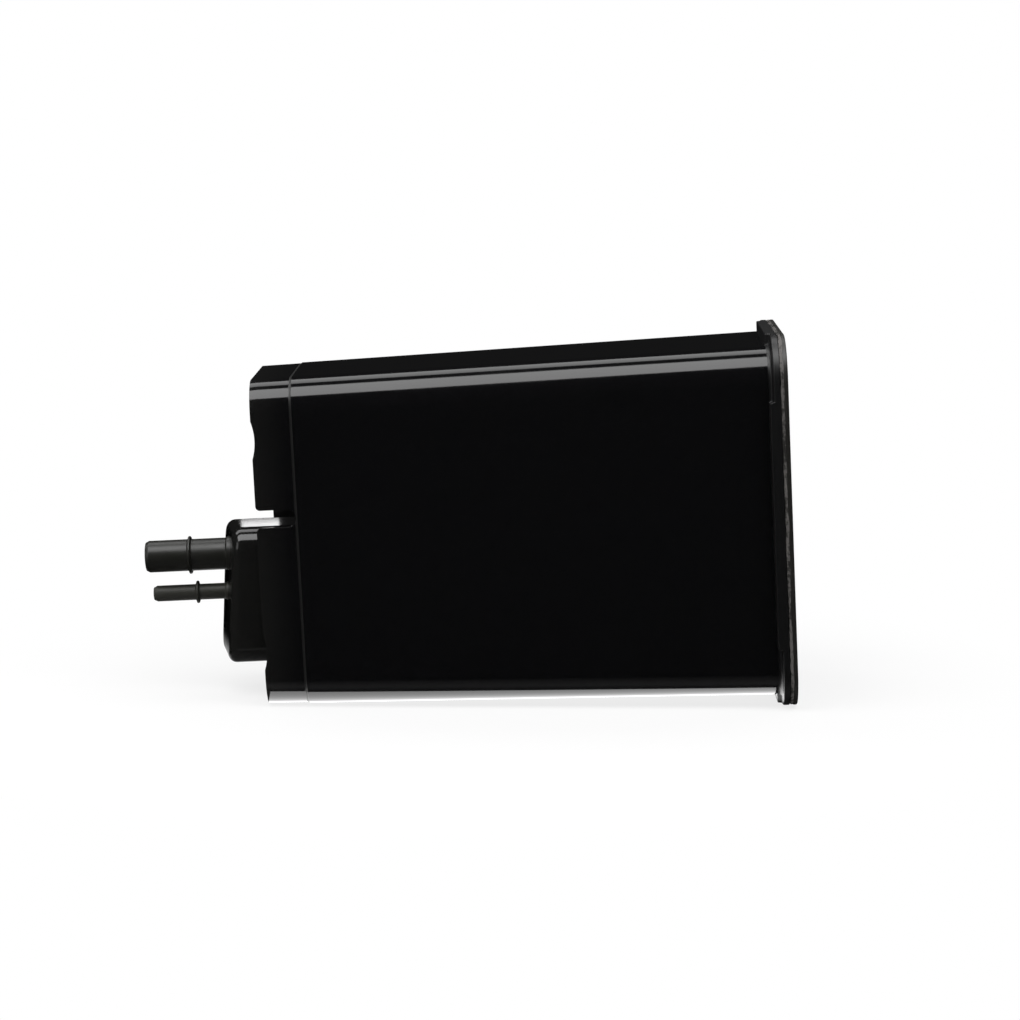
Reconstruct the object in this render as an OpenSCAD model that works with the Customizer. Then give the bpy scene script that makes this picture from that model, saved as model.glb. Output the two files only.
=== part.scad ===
// Charcoal canister for fuel vapour: a drafted, moulded housing with two carbon chambers side by side,
// a port dome with hose spigots at one end and a welded cover at the other.
// The long axis runs along X, from the spigots (-X) to the cover (+X). Z is up and Y is the depth.
// Inside the modules x = 0 is the outer face of the deck, and y = z = 0 is the long axis.

/* [Housing] */
// Outer height of the housing at its flange
housing_h = 170.5; // [156:0.5:190]
// Outer depth of the housing at its flange
housing_d = 102.5; // [92:0.5:125]
// Length from the deck to the flange
body_len = 231; // [210:0.5:265]
// Draft of the four sides, in degrees
draft = 1.2; // [0.5:0.05:1.5]
// Outer radius of the four long edges
corner_r = 15; // [10:0.5:20]
// Thickness of the side walls
wall = 2.5; // [1.5:0.1:4]
// Thickness of the deck, the wall under the spigots
deck_t = 3; // [2:0.1:5]

/* [Skirt round the deck] */
// Length of the skirt beyond the deck
skirt_len = 19.8; // [17:0.1:24]
// Step from the body in to the skirt at the parting line
skirt_step = 0.4; // [0.2:0.05:1]
// Chamfer along the skirt's rim
rim_chamfer = 0.8; // [0.3:0.1:1.2]
// Width of the slots in the skirt
slot_w = 8.6; // [5:0.1:10]
// Distance from the parting line to the round end of a slot
slot_end = 0.4; // [0.2:0.1:2]
// Radius of the corners at a slot's mouth
slot_mouth_r = 2.2; // [1:0.1:3]
// Width of the shallow dips in the rim
dip_w = 18.5; // [12:0.5:22]
// Depth of the shallow dips in the rim
dip_depth = 1.5; // [0.8:0.1:3]
// Height of the dips above and below the long axis
dip_z = 52; // [45:0.5:54]

/* [Flange] */
// Distance that the flange and the cover stand proud of the housing
flange_proud = 5.5; // [4:0.1:10]
// Thickness of the housing's flange at its corners
flange_t = 3.3; // [2:0.1:5]
// Thickness that the flange gains along its four sides
land_t = 2; // [1:0.1:3.5]
// Half height of the thicker front and rear sides
land_z = 60; // [50:0.5:66]
// Half depth of the thicker top and bottom sides
land_y = 33; // [25:0.5:36]
// Chamfer along the outer edges of the flange and the cover
edge_chamfer = 0.6; // [0.3:0.1:1]

/* [Port dome] */
// Distance from the deck to the dome's end face, at the tank spigot
dome_len = 39.2; // [34:0.1:46]
// Lean of the end face, in degrees: its foot stands further out
dome_lean = 4.7; // [1:0.1:7]
// Turn of the end face, in degrees: its rear edge stands further out
dome_turn = 10.5; // [2:0.5:15]
// Depth of the dome
dome_d = 46; // [40:0.5:54]
// Top of the dome above the long axis
dome_top = 5; // [4:0.1:7]
// Bottom of the dome below the long axis
dome_bottom = 62.5; // [54:0.5:66]
// Radius of the dome's long edges
dome_side_r = 10; // [7:0.5:13]
// Radius of the edges round the dome's end face
dome_r = 4.5; // [4:0.1:7]

/* [Spigots] */
// Outer diameter of the tank and vent spigots
tank_od = 15.8; // [14:0.1:17]
// Bore of the tank and vent spigots
tank_bore = 11.8; // [9:0.1:12.5]
// Length of the tank spigot
tank_len = 40.9; // [36:0.1:48]
// Depth of the tank spigot's axis below the long axis
tank_drop = 9.9; // [9:0.1:11]
// Diameter of the tank spigot's bead
tank_bead = 18.8; // [18:0.1:20]
// Outer diameter of the purge spigot
purge_od = 7.9; // [6.3:0.1:9.5]
// Bore of the purge spigot
purge_bore = 4.6; // [3:0.1:5]
// Length of the purge spigot
purge_len = 36.6; // [33:0.1:44]
// Distance between the axes of the tank and purge spigots
spigot_pitch = 18.8; // [18:0.1:22]
// Diameter of the purge spigot's bead
purge_bead = 11.2; // [10:0.1:12]
// Distance from a spigot's tip to the middle of its bead
bead_from_tip = 22; // [18:0.5:25]
// Half length of a bead's crown
bead_half = 0.5; // [0.4:0.1:1.5]
// Length of a bead's slopes
bead_slope = 0.5; // [0.3:0.1:1]
// Length of a spigot's tapered tip
tip_len = 1.8; // [1:0.1:3]
// Distance that the tip tapers in
tip_drop = 0.9; // [0.4:0.1:1.2]
// Flare at a spigot's root
root_flare = 0.8; // [0.5:0.1:2]
// Length of the vent spigot, which stays inside the skirt
vent_len = 15; // [12:0.5:17]
// Height of the vent spigot above the long axis
vent_z = 46.5; // [40:0.5:50]

/* [Cover] */
// Thickness of the cover's rim
cover_t = 2.9; // [2:0.1:4]
// Thickness of the melted seam between flange and cover
seam_t = 0.8; // [0.4:0.1:1.2]
// Distance that the seam lies in from the edge
seam_inset = 1; // [0.5:0.1:2]
// Depth of the cover's dished panel
dish_depth = 6; // [4:0.5:9]
// Thickness of the cover's panel
panel_t = 2.5; // [2:0.1:4]
// Thickness of the cover's stiffening ribs
cover_rib_t = 2; // [1.2:0.1:3]
// Distance that the cover's ribs stay below its rim
cover_rib_drop = 1; // [0.5:0.1:2]
// Length of the cover's spring posts
cover_post = 5; // [3:0.5:7]

/* [Chambers] */
// Height of the partition above the long axis
partition_z = 13.3; // [12.6:0.1:14]
// Thickness of the partition
partition_t = 2.5; // [1.5:0.1:4]
// Height of the ribs that hold the fleece off the deck
plenum = 10; // [6:0.5:14]
// Thickness of those ribs
deck_rib_t = 2; // [1.2:0.1:3]
// Distance from one of those ribs to the next
deck_rib_pitch = 17; // [14:0.5:20]
// Distance that those ribs end short of the side walls
deck_rib_clear = 4; // [3:0.5:8]
// Thickness of a fleece pad
fleece_t = 6; // [3:0.5:10]
// Thickness of a retainer plate
plate_t = 4; // [3:0.5:6]
// Width of a retainer plate's square windows
window_w = 7; // [5:0.5:8]
// Width of the webs between the windows
window_web = 3; // [2:0.5:5]
// Least border of a plate round its windows
plate_border = 5; // [4:0.5:8]
// Length of a plate's spring posts
plate_post = 3; // [2:0.5:5]
// Clear opening between the partition's end and the cover
crossover = 10; // [6:0.5:14]
// Room that each loose piece has along the walls
fit_gap = 0.3; // [0.2:0.05:0.5]

/* [Springs] */
// Length of a spring in place, from plate to cover
spring_len = 22; // [18:0.5:30]
// Mean radius of the spring's coils
coil_r = 9; // [8.5:0.1:11]
// Radius of the spring wire
wire_r = 0.7; // [0.5:0.05:1]
// Distance of each spring from the middle of its chamber, along Y
spring_y = 21; // [18:0.5:23]

/* [Hidden] */
$fn = 64;

big = 600;

// Overlaps by which the parts of one moulding run into each other
sink = 0.5;
skirt_sink = deck_t * 0.6;
partition_sink = deck_t * 0.4;
dome_sink = deck_t * 0.5;

// The rods along the long edges stand a hair proud, so that they cross the flat sides cleanly
rod_proud = 0.04;

growth = tan(draft);
deck_hy = housing_d / 2 - body_len * growth;
deck_hz = housing_h / 2 - body_len * growth;

// Stations along the long axis
flange_x = body_len;
seam_x = flange_x + flange_t;
cover_x = seam_x + seam_t;
end_x = cover_x + cover_t;
tip_x = -dome_len - tank_len;
panel_x = end_x - dish_depth - panel_t;
plate_x = panel_x - spring_len - plate_t;
plate_fleece_x = plate_x - fleece_t;
deck_fleece_x = deck_t + plenum;
bed_x = deck_fleece_x + fleece_t;

// The origin is under the middle of the part, level with the rim's lower edge
axis_z = housing_h / 2 + flange_proud;
mid_x = (tip_x + end_x) / 2;

// Corner centres of the flange's outline, and the radius of its corners
flange_ay = housing_d / 2 - corner_r;
flange_az = housing_h / 2 - corner_r;
flange_r = corner_r + flange_proud;

tank_z = -tank_drop;
purge_z = tank_z - spigot_pitch;

// The dome's end face: its slopes along Z and Y, and its place at a height on the middle plane
lean_slope = tan(dome_lean) / cos(dome_turn);
turn_slope = tan(dome_turn);
function dome_face(z) = -dome_len + (z - tank_z) * lean_slope;
root_sink = (tank_od / 2 + root_flare) * turn_slope + sink;

nylon = "#0c0c0d";
fleece_white = "#d8d6cc";
carbon_black = "#191817";
plate_grey = "#34363a";
spring_steel = "#8f9294";

// The two chambers: name of the side (-1 is the tank chamber below, 1 the vent chamber above) to its Z span
function chamber_span(side) = side < 0
  ? [-deck_hz + wall, partition_z - partition_t / 2]
  : [partition_z + partition_t / 2, deck_hz - wall];
function chamber_mid(side) = (chamber_span(side)[0] + chamber_span(side)[1]) / 2;
function drafted_half(half, x) = half + x * growth;

module placed() {
  translate([-mid_x, 0, axis_z]) children();
}

// A trapezoid in the plane of X and one cross axis: half sizes h0 at x0 and h1 at x1
module trapezoid(x0, x1, h0, h1) {
  polygon([[x0, -h0], [x1, -h1], [x1, h1], [x0, h0]]);
}

// A four-sided frustum along X
module frustum(x0, x1, y0, y1, z0, z1) {
  intersection() {
    rotate([90, 0, 0]) linear_extrude(big, center = true) trapezoid(x0, x1, z0, z1);
    linear_extrude(big, center = true) trapezoid(x0, x1, y0, y1);
  }
}

// A block with drafted sides and long edges of one radius: half sizes hy and hz at the deck
module drafted_block(x0, x1, hy, hz, r) {
  ay = hy - r;
  az = hz - r;
  frustum(x0, x1, drafted_half(hy, x0), drafted_half(hy, x1), drafted_half(az, x0), drafted_half(az, x1));
  frustum(x0, x1, drafted_half(ay, x0), drafted_half(ay, x1), drafted_half(hz, x0), drafted_half(hz, x1));
  intersection() {
    linear_extrude(big, center = true) trapezoid(x0, x1, big / 2, big / 2);
    for (sy = [-1, 1], sz = [-1, 1])
      translate([0, sy * ay, sz * az])
        rotate([0, 90 - sz * atan(growth / sqrt(1 + growth * growth)), sy * atan(growth)])
          rotate([0, 0, atan2(-sy, sz)]) translate([0, 0, x0 - corner_r])
            cylinder(h = x1 - x0 + 2 * corner_r, r = r + rod_proud);
  }
}

// A plate with round corners, as stations [x, r]: the corner centres stay put while the radius r changes
module edge_plate(stations, ay, az) {
  last = len(stations) - 1;
  linear_extrude(2 * az, center = true) edge_outline(stations, ay);
  rotate([90, 0, 0]) linear_extrude(2 * ay, center = true) edge_outline(stations, az);
  for (sy = [-1, 1], sz = [-1, 1])
    translate([0, sy * ay, sz * az]) rotate([0, 90, 0]) rotate_extrude()
      polygon(concat([[0, stations[0][0]]], [for (s = stations) [s[1], s[0]]], [[0, stations[last][0]]]));
}

module edge_outline(stations, half) {
  last = len(stations) - 1;
  polygon(concat(
    [for (s = stations) [s[0], half + s[1]]],
    [for (i = [last:-1:0]) [stations[i][0], -half - stations[i][1]]]
  ));
}

// One chamber's cross-section as a solid from x0 to x1, clear of the walls by gap
module chamber_fill(side, x0, x1, gap) {
  inset = wall + gap;
  foot = side < 0 ? chamber_span(side)[1] - gap - big : chamber_span(side)[0] + gap;
  intersection() {
    drafted_block(x0, x1, deck_hy - inset, deck_hz - inset, corner_r - inset);
    translate([x0 - 1, -big / 2, foot]) cube([x1 - x0 + 2, big, big]);
  }
}

module spring_places(side) {
  for (sy = [-1, 1]) translate([0, sy * spring_y, chamber_mid(side)]) children();
}

// Housing

module skirt_wall() {
  inner = skirt_step + wall;
  rim_x = -skirt_len;
  rim_hy = drafted_half(deck_hy, rim_x) - skirt_step;
  rim_hz = drafted_half(deck_hz, rim_x) - skirt_step;
  rim_r = corner_r - skirt_step;
  edge_x = rim_x + rim_chamfer;
  rim_stations = [[rim_x, rim_r - rim_chamfer], [edge_x, rim_r], [edge_x + sink, rim_r]];
  difference() {
    union() {
      drafted_block(edge_x, skirt_sink, deck_hy - skirt_step, deck_hz - skirt_step, rim_r);
      edge_plate(rim_stations, rim_hy - rim_r, rim_hz - rim_r);
    }
    drafted_block(rim_x - 1, skirt_sink + 1, deck_hy - inner, deck_hz - inner, corner_r - inner);
    skirt_slots();
    rim_dips();
  }
}

// Round-ended slots with a rounded mouth through the front and rear of the skirt, level with the partition
module skirt_slots() {
  round_x = -slot_end - slot_w / 2;
  mouth_w = slot_w + 2 * slot_mouth_r;
  translate([0, 0, partition_z]) rotate([90, 0, 0]) linear_extrude(big, center = true) {
    translate([-skirt_len - 1, -slot_w / 2]) square([skirt_len + 1 + round_x, slot_w]);
    translate([round_x, 0]) circle(d = slot_w);
    difference() {
      translate([-skirt_len - 1, -mouth_w / 2]) square([1 + slot_mouth_r, mouth_w]);
      for (sz = [-1, 1]) translate([-skirt_len + slot_mouth_r, sz * mouth_w / 2]) circle(slot_mouth_r);
    }
  }
}

// Shallow dips in the front and rear of the rim
module rim_dips() {
  dip_r = (pow(dip_w / 2, 2) + pow(dip_depth, 2)) / (2 * dip_depth);
  for (sz = [-1, 1])
    translate([-skirt_len + dip_depth - dip_r, 0, sz * dip_z])
      rotate([90, 0, 0]) cylinder(h = big, r = dip_r, center = true);
}

// The flange: a plate with a sloped root, thicker along its four sides than at its corners
module flange() {
  land_x = flange_x - land_t;
  edge_x = flange_x + edge_chamfer;
  near_r = flange_r - edge_chamfer;
  edge_plate([[land_x, corner_r - sink], [flange_x + sink, corner_r + land_t]], flange_ay, flange_az);
  edge_plate([[flange_x, near_r], [edge_x, flange_r], [seam_x, flange_r]], flange_ay, flange_az);
  intersection() {
    edge_plate([[land_x, near_r], [land_x + edge_chamfer, flange_r], [edge_x, flange_r]], flange_ay, flange_az);
    union() {
      cube([big, big, 2 * land_z], center = true);
      cube([big, 2 * land_y, big], center = true);
    }
  }
}

module partition() {
  inset = wall / 2;
  intersection() {
    drafted_block(partition_sink, panel_x - crossover, deck_hy - inset, deck_hz - inset, corner_r - inset);
    translate([0, -big / 2, partition_z - partition_t / 2]) cube([big, big, partition_t]);
  }
}

// Short ribs that hold the fleece off the deck and leave the middle open for the vapour
module deck_ribs() {
  rib_y0 = dome_d / 2;
  rib_y1 = deck_hy - wall - deck_rib_clear;
  for (side = [-1, 1], sy = [-1, 1]) {
    span = chamber_span(side);
    count = floor((span[1] - span[0] - corner_r) / deck_rib_pitch);
    for (i = [0:count])
      translate([
        deck_t - sink,
        sy * (rib_y0 + rib_y1) / 2 - (rib_y1 - rib_y0) / 2,
        chamber_mid(side) + (i - count / 2) * deck_rib_pitch - deck_rib_t / 2
      ]) cube([plenum + sink, rib_y1 - rib_y0, deck_rib_t]);
  }
}

// The dome's form up to x1, taken in by inset: three crossed outlines, each with its own round edges
module dome_form(x1, inset) {
  r = dome_r - inset > sink ? dome_r - inset : sink;
  hy = dome_d / 2 - inset;
  high = dome_top - inset;
  low = -dome_bottom + inset;
  face_x = dome_face(0) + inset * norm([1, lean_slope, turn_slope]);
  lean_angle = atan(lean_slope);
  over = 0.1;
  intersection() {
    translate([face_x - dome_d, 0, (high + low) / 2]) rotate([90, 0, 90])
      linear_extrude(x1 - face_x + dome_d) rounded_rect(hy, (high - low) / 2, dome_side_r - inset);
    rotate([90, 0, dome_turn]) linear_extrude(big, center = true)
      leaning_end(face_x * cos(dome_turn), tan(dome_lean), low - over, high + over, r, x1 + dome_d);
    translate([face_x, 0, 0]) rotate([0, lean_angle, 0]) linear_extrude(big, center = true)
      leaning_end(-over, -turn_slope * cos(lean_angle), -hy - over, hy + over, r, big / 2);
  }
}

// A rectangle of half sizes hx and hy with round corners
module rounded_rect(hx, hy, r) {
  square([2 * hx, 2 * (hy - r)], center = true);
  square([2 * (hx - r), 2 * hy], center = true);
  for (sx = [-1, 1], sy = [-1, 1]) translate([sx * (hx - r), sy * (hy - r)]) circle(r);
}

// An outline with a leaning end and round corners: the end passes through x = face_x on the outline's axis
module leaning_end(face_x, lean, low, high, r, x1) {
  slant = sqrt(1 + lean * lean);
  top_x = face_x + (high - r) * lean + r * slant;
  foot_x = face_x + (low + r) * lean + r * slant;
  nx = -r / slant;
  nz = r * lean / slant;
  polygon([
    [top_x, high], [x1, high], [x1, low], [foot_x, low],
    [foot_x + nx, low + r + nz], [top_x + nx, high - r + nz]
  ]);
  translate([top_x, high - r]) circle(r);
  translate([foot_x, low + r]) circle(r);
}

// A spigot that points to -X, turned about its own axis: its root is at x = 0 and runs on inwards by root
module spigot(len, od, bead_d, root) {
  r = od / 2;
  bead_at = len - bead_from_tip;
  bead_points = bead_d > od ? [
    [r, bead_at - bead_half - bead_slope],
    [bead_d / 2, bead_at - bead_half],
    [bead_d / 2, bead_at + bead_half],
    [r, bead_at + bead_half + bead_slope]
  ] : [];
  rotate([0, -90, 0]) rotate_extrude()
    polygon(concat(
      [[0, -root], [r + root_flare, -root], [r + root_flare, 0], [r, root_flare]],
      bead_points,
      [[r, len - tip_len], [r - tip_drop, len], [0, len]]
    ));
}

module spigot_bore(x0, x1, z, d) {
  translate([x0, 0, z]) rotate([0, 90, 0]) cylinder(h = x1 - x0, d = d);
}

module housing() {
  color(nylon) placed() difference() {
    union() {
      difference() {
        union() {
          drafted_block(0, flange_x + sink, deck_hy, deck_hz, corner_r);
          flange();
        }
        drafted_block(deck_t, seam_x + 1, deck_hy - wall, deck_hz - wall, corner_r - wall);
      }
      skirt_wall();
      partition();
      deck_ribs();
      dome_form(dome_sink, 0);
      translate([dome_face(tank_z), 0, tank_z]) spigot(tank_len, tank_od, tank_bead, root_sink);
      translate([dome_face(purge_z), 0, purge_z]) spigot(purge_len, purge_od, purge_bead, root_sink);
      translate([0, 0, vent_z]) spigot(vent_len, tank_od, 0, sink);
    }
    dome_form(deck_t + 1, wall);
    spigot_bore(tip_x - 1, -dome_len + wall + tank_od / 2, tank_z, tank_bore);
    spigot_bore(tip_x - 1, -dome_len + wall + tank_od / 2, purge_z, purge_bore);
    spigot_bore(-vent_len - 1, deck_t + 1, vent_z, tank_bore);
  }
}

// Cover

module dish(x0, x1, inset) {
  lip_hy = drafted_half(deck_hy, panel_x) - wall - inset;
  lip_hz = drafted_half(deck_hz, panel_x) - wall - inset;
  r = corner_r - wall - inset;
  edge_plate([[x0, r], [x1, r]], lip_hy - r, lip_hz - r);
}

module cover_ribs() {
  rib_x = end_x - dish_depth - sink;
  rib_h = dish_depth + sink - cover_rib_drop;
  intersection() {
    dish(rib_x, rib_x + rib_h, fit_gap + panel_t - sink);
    union() {
      for (i = [-2:2])
        translate([0, -big / 2, i * housing_h / 6 - cover_rib_t / 2]) cube([big, big, cover_rib_t]);
      for (j = [-1:1])
        translate([0, j * housing_d / 4 - cover_rib_t / 2, -big / 2]) cube([big, cover_rib_t, big]);
    }
  }
}

module spring_post(x0, x1) {
  translate([x0, 0, 0]) rotate([0, 90, 0]) cylinder(h = x1 - x0, r = coil_r - 2 * wire_r);
}

module end_cover() {
  edge_x = end_x - edge_chamfer;
  seam_r = flange_r - seam_inset;
  rim_stations = [
    [seam_x, seam_r], [cover_x, seam_r], [cover_x, flange_r], [edge_x, flange_r], [end_x, flange_r - edge_chamfer]
  ];
  color(nylon) placed() {
    difference() {
      union() {
        edge_plate(rim_stations, flange_ay, flange_az);
        dish(panel_x, cover_x + cover_t / 2, fit_gap);
      }
      dish(panel_x + panel_t, end_x + 1, fit_gap + panel_t);
    }
    cover_ribs();
    for (side = [-1, 1]) spring_places(side) spring_post(panel_x - cover_post, panel_x + sink);
  }
}

// Pieces inside the chambers

module carbon_bed(side) {
  color(carbon_black) placed() chamber_fill(side, bed_x, plate_fleece_x, fit_gap);
}

module deck_fleece(side) {
  color(fleece_white) placed() chamber_fill(side, deck_fleece_x, bed_x, fit_gap);
}

module plate_fleece(side) {
  color(fleece_white) placed() chamber_fill(side, plate_fleece_x, plate_x, fit_gap);
}

// A plate with a grid of square windows and two posts that centre the springs
module retainer_plate(side) {
  pitch = window_w + window_web;
  span = chamber_span(side);
  room_y = deck_hy - wall - plate_border - window_w / 2;
  room_z = (span[1] - span[0]) / 2 - plate_border - window_w / 2;
  count_y = floor(room_y / pitch);
  count_z = floor(room_z / pitch);
  color(plate_grey) placed() {
    difference() {
      chamber_fill(side, plate_x, plate_x + plate_t, fit_gap);
      for (i = [-count_y:count_y], j = [-count_z:count_z])
        if (norm([abs(i * pitch) - spring_y, j * pitch]) > coil_r + window_w / 2)
          translate([plate_x + plate_t / 2, i * pitch, chamber_mid(side) + j * pitch])
            cube([plate_t + 2, window_w, window_w], center = true);
    }
    spring_places(side) spring_post(plate_x + plate_t - sink, plate_x + plate_t + plate_post);
  }
}

// The spring's centreline: nearly closed end turns, and open turns between them
spring_turns = 6.5;
end_turns = 1;
end_pitch = 2.2 * wire_r;
seat_gap = 0.1;
wire_run = spring_len - 2 * wire_r - 2 * seat_gap;
open_rise = wire_run - 2 * end_turns * end_pitch;
function spring_rise(t) = t < end_turns ? t * end_pitch
  : t > spring_turns - end_turns ? wire_run - (spring_turns - t) * end_pitch
  : end_turns * end_pitch + (t - end_turns) / (spring_turns - 2 * end_turns) * open_rise;

module spring(side, sy) {
  steps = 14;
  sides = 8;
  rings = floor(spring_turns * steps);
  points = [for (i = [0:rings], k = [0:sides - 1])
    let (t = i / steps, a = 360 * t, b = 360 * k / sides, rad = coil_r + wire_r * cos(b))
      [spring_rise(t) + wire_r * sin(b), rad * cos(a), rad * sin(a)]];
  walls = [for (i = [0:rings - 1], k = [0:sides - 1])
    let (n = (k + 1) % sides)
      [i * sides + k, i * sides + n, (i + 1) * sides + n, (i + 1) * sides + k]];
  caps = [[for (k = [0:sides - 1]) sides - 1 - k], [for (k = [0:sides - 1]) rings * sides + k]];
  color(spring_steel) placed()
    translate([plate_x + plate_t + wire_r + seat_gap, sy * spring_y, chamber_mid(side)])
      polyhedron(points, concat(walls, caps), convexity = 10);
}

housing();
end_cover();
carbon_bed(-1);  // tank_carbon_bed
carbon_bed(1);  // vent_carbon_bed
deck_fleece(-1);  // tank_deck_fleece
deck_fleece(1);  // vent_deck_fleece
plate_fleece(-1);  // tank_plate_fleece
plate_fleece(1);  // vent_plate_fleece
retainer_plate(-1);  // tank_retainer_plate
retainer_plate(1);  // vent_retainer_plate
spring(-1, -1);  // tank_spring_front
spring(-1, 1);  // tank_spring_rear
spring(1, -1);  // vent_spring_front
spring(1, 1);  // vent_spring_rear
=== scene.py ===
# %% [markdown]
# # A charcoal canister
# A fuel vapour canister is a black moulded box full of carbon. One end carries the hose spigots, and the
# other end is closed by a cover that is welded to the box's flange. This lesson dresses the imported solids:
# it rebuilds the two mouldings with soft edges, gives every piece a finish, and lights them like a catalogue
# photograph.

# %% Load the frame
import math

import bmesh
import bpy
import numpy as np
from mathutils import Matrix, Vector


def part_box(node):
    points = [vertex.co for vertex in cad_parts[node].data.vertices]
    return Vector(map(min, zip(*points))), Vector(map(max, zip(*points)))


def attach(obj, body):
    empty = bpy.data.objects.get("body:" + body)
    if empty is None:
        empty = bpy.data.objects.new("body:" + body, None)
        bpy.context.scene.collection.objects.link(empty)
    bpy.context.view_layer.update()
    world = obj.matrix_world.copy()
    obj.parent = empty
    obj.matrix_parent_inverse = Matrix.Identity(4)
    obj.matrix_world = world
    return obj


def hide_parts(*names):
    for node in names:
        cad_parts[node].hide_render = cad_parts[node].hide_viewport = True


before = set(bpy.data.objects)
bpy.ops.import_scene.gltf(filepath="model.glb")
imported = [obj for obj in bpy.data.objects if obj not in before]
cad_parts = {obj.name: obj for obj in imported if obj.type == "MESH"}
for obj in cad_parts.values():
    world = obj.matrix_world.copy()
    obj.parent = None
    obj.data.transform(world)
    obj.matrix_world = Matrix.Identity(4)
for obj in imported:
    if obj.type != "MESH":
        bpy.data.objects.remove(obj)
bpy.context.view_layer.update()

print("solids in the frame:", len(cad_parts))

# %% [markdown]
# ## Sizes
# The frame is in metres, but a moulder thinks in millimetres, so the shapes below are worked out in
# millimetres from the middle of the deck (the wall under the spigots), with x along the canister and z up.
# The large sizes come from the boxes of the two solids. The small ones, such as wall thickness, are the
# moulder's own.

# %% Sizes of the mouldings
MM = 0.001
housing_lo, housing_hi = (np.array(c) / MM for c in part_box("housing"))
cover_hi = np.array(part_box("end_cover")[1]) / MM

SPIGOT_REACH = 80.1
FLANGE_T, SEAM_T, FLANGE_PROUD, SEAM_INSET = 3.3, 0.8, 5.5, 1.0
WALL, DECK_T, CORNER_R = 2.5, 3.0, 15.0
DRAFT = math.tan(math.radians(1.2))

DECK_X = housing_lo[0] + SPIGOT_REACH
AXIS_Z = (housing_lo[2] + housing_hi[2]) / 2
SEAM_X = housing_hi[0] - DECK_X
FLANGE_X = SEAM_X - FLANGE_T
COVER_X = SEAM_X + SEAM_T
END_X = cover_hi[0] - DECK_X
DECK_HALF_Y = housing_hi[1] - FLANGE_PROUD - FLANGE_X * DRAFT
DECK_HALF_Z = housing_hi[2] - AXIS_Z - FLANGE_PROUD - FLANGE_X * DRAFT
print(f"body {FLANGE_X:.1f} mm long, deck {2 * DECK_HALF_Y:.1f} by {2 * DECK_HALF_Z:.1f} mm")

# %% [markdown]
# ## One surface for everything
# Nearly every form here is a profile carried round a path: the box is a side profile carried round a rounded
# rectangle, and a spigot is one carried round a circle. A path point is a place on the corner centres'
# rectangle (as a fraction of its half sizes) and an outward normal. A profile point is a station x and
# a distance out. Both are arrays, so a whole surface is one sum.

# %% Paths
# Places along a flat side as shares of its half length, crowded at the ends to keep the shading flat.
FLAT = np.array([-1, -0.985, -0.9, -0.5, 0, 0.5, 0.9, 0.985, 1])
ARC_STEPS, ROUND_STEPS = 14, 56


def box_path(side=FLAT, top=FLAT, arc_steps=ARC_STEPS):
    """A rounded rectangle as rows (cy, cz, ny, nz): flats move the centre, and corners turn the normal."""

    def flat(cy, cz, ny, nz):
        return np.stack(np.broadcast_arrays(cy, cz, float(ny), float(nz)), 1)

    def corner(cy, cz, start):
        a = np.radians(start - 90 * np.arange(1, arc_steps) / arc_steps)
        return np.stack([0 * a + cy, 0 * a + cz, np.cos(a), np.sin(a)], 1)

    return np.concatenate([
        flat(-1.0, side, -1, 0), corner(-1, 1, 180),
        flat(top, 1.0, 0, 1), corner(1, 1, 90),
        flat(1.0, side[::-1], 1, 0), corner(1, -1, 0),
        flat(top[::-1], -1.0, 0, -1), corner(-1, -1, -90)])


def round_path(steps=ROUND_STEPS):
    """A circle as rows (cy, cz, ny, nz): the centre stays and the normal turns once."""
    a = -2 * np.pi * np.arange(steps) / steps
    return np.stack([0 * a, 0 * a, np.cos(a), np.sin(a)], 1)


print("path points round a box:", len(box_path()))

# %% [markdown]
# ## Soft profiles
# Sharp profile corners are turned into short arcs, because a moulding has no sharp edge, and it is the arc
# that catches the light. An arc's points are a blend of its two end points round the arc's centre, weighted
# by the sines of the angles that are left and done.

# %% Profiles
EDGE_STEPS, FINE_STEPS = 4, 6
# An arc takes at most this share of a straight. A point beside it, this near, keeps the straight flat.
ARC_SHARE, BESIDE, BESIDE_SHARE = 0.48, 0.06, 0.02


def soft(points, radii, steps=EDGE_STEPS):
    """A polyline whose corners are arcs of the given radii, with a point beside each end of an arc."""
    p = np.array(points, float)
    out = [p[:1]]
    for before, at, after, r in zip(p[:-2], p[1:-1], p[2:], radii):
        u, v = before - at, after - at
        lu, lv = np.linalg.norm(u), np.linalg.norm(v)
        u, v = u / lu, v / lv
        half = np.arccos(np.clip(u @ v, -1, 1)) / 2
        cut = min(r / np.tan(half), ARC_SHARE * lu, ARC_SHARE * lv)
        t = np.linspace(0, 1, steps + 1)[:, None]
        a, b = at + u * cut, at + v * cut
        mid = (u + v) / np.linalg.norm(u + v)
        centre = at + mid * cut / np.cos(half)
        turn = np.pi - 2 * half
        from_a, from_b = np.sin((1 - t) * turn) * (a - centre), np.sin(t * turn) * (b - centre)
        arc = centre + (from_a + from_b) / np.sin(turn)
        before_arc = a[None] + u * min(BESIDE, BESIDE_SHARE * lu)
        after_arc = b[None] + v * min(BESIDE, BESIDE_SHARE * lv)
        out += [before_arc, arc, after_arc]
    return np.concatenate(out + [p[-1:]])


def carry(profile, path, half=(0, 0), radius=0.0, growth=0.0, centre=(0, 0)):
    """A profile (x, out) carried round a path.

    A point is centre + fraction * (half size at x - radius) + (radius + out) * normal.
    """
    x, out = (profile[..., i] if profile.ndim == 3 else profile[:, i, None] for i in (0, 1))
    cy, cz, ny, nz = path.T
    more = growth * np.minimum(x, FLANGE_X)
    y = centre[0] + cy * (half[0] + more - radius) + (radius + out) * ny
    z = centre[1] + cz * (half[1] + more - radius) + (radius + out) * nz
    return np.stack(np.broadcast_arrays(x, y, z), -1)


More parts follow.
